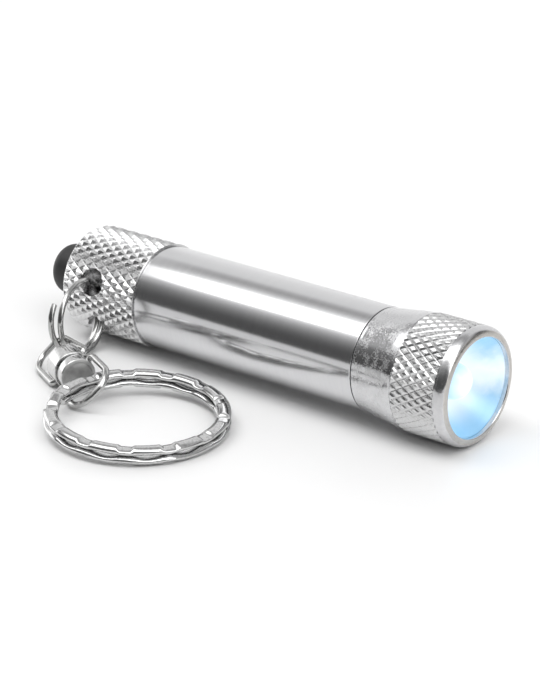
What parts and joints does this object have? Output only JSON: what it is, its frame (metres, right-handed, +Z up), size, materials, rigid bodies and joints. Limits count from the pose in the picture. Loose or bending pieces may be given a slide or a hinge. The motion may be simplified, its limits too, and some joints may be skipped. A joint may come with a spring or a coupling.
{
  "type": "keychain flashlight",
  "caption": "Slim metal pocket flashlight with knurled tail cap and head, tail push button, and a wire swivel with a flat split key ring hanging from a small ring through the cap.",
  "frame": {"origin": "middle of the bottom of the whole object's box, on the table", "axes": "+X along the flashlight from its tail to its head, +Z up, +Y away from the key ring"},
  "size_m": [0.071, 0.0428, 0.0157],
  "materials": {
    "casing": "brushed",
    "polished": "polished",
    "button": "matte",
    "seal": "matte",
    "plating": "bright nickel plate",
    "spring_steel": "drawn wire",
    "switch_body": "moulded",
    "contact_brass": "plain",
    "cell_steel": "drawn can",
    "cell_paste": "packed powder",
    "cell_label": "shrink wrap",
    "cell_plastic": "moulded",
    "board": "solder mask",
    "chip_black": "moulded",
    "mirror_cone": "vacuum metallised",
    "lamp": "clear epoxy"
  },
  "bodies": {
    "light_body": {"barrel": "casing", "tail_cap": "casing", "head_o_ring": "seal", "switch_housing": "switch_body", "switch_contact": "contact_brass", "return_spring": "spring_steel", "cell_spring": "spring_steel", "cell_can": "cell_steel", "cell_filling": "cell_paste", "cell_wrap": "cell_label", "cell_seal": "cell_plastic", "cell_positive_nub": "cell_steel"},
    "button": {"push_button": "button", "switch_plunger": "switch_body"},
    "light_module": {"board_carrier": "casing", "ground_ring": "contact_brass", "driver_board": "board", "positive_contact": "contact_brass", "driver_chip": "chip_black", "driver_coil": "chip_black", "lamp_leads": "spring_steel", "led_lamp": "lamp", "reflector": "mirror_cone"},
    "head": {"head_shell": "polished"},
    "split_ring": {"small_split_ring": "plating"},
    "swivel_rear": {"rear_bow": "plating", "swivel_collar": "plating"},
    "swivel_front": {"swivel_drum": "plating", "front_bow": "plating"},
    "keys_ring": {"key_ring": "plating"}
  },
  "joints": [
    {"name": "button_press", "type": "slide", "parent": "light_body", "child": "button", "axis": [1, 0, 0.0098], "range_m": [0, 0.0008], "stiffness_N_per_m": 200, "springref_m": -0.006, "deforming": ["return_spring"]},
    {"name": "module_travel", "type": "slide", "parent": "light_body", "child": "light_module", "axis": [1, 0, 0.0098], "range_m": [0, 0.00225]},
    {"name": "head_turn", "type": "hinge", "parent": "light_module", "child": "head", "pos_m": [0.02791, 0.0136, 0.00781], "axis": [1, 0, 0.0098], "range_deg": [0, 1080]},
    {"name": "ring_swing", "type": "hinge", "parent": "light_body", "child": "split_ring", "pos_m": [-0.02413, 0.00862, 0.00636], "axis": [-0.0308, -0.1734, 0.9844], "range_deg": [-20, 8]},
    {"name": "rear_bow_swing", "type": "hinge", "parent": "split_ring", "child": "swivel_rear", "pos_m": [-0.02387, -0.00141, 0.00263], "axis": [0.3318, 0.6672, 0.6669], "range_deg": [-15, 15]},
    {"name": "swivel_spin", "type": "hinge", "parent": "swivel_rear", "child": "swivel_front", "pos_m": [-0.01583, -0.00545, 0.00268], "axis": [0.8933, -0.4494, 0.0052], "continuous": true},
    {"name": "key_ring_swing", "type": "hinge", "parent": "swivel_front", "child": "keys_ring", "pos_m": [-0.00873, -0.00902, 0.00272], "axis": [0.3318, 0.6672, 0.6669], "range_deg": [-3, 10]}
  ],
  "couplings": [
    {"joint": "module_travel", "follows": "head_turn", "m_per_rad": 0.00011937}
  ]
}
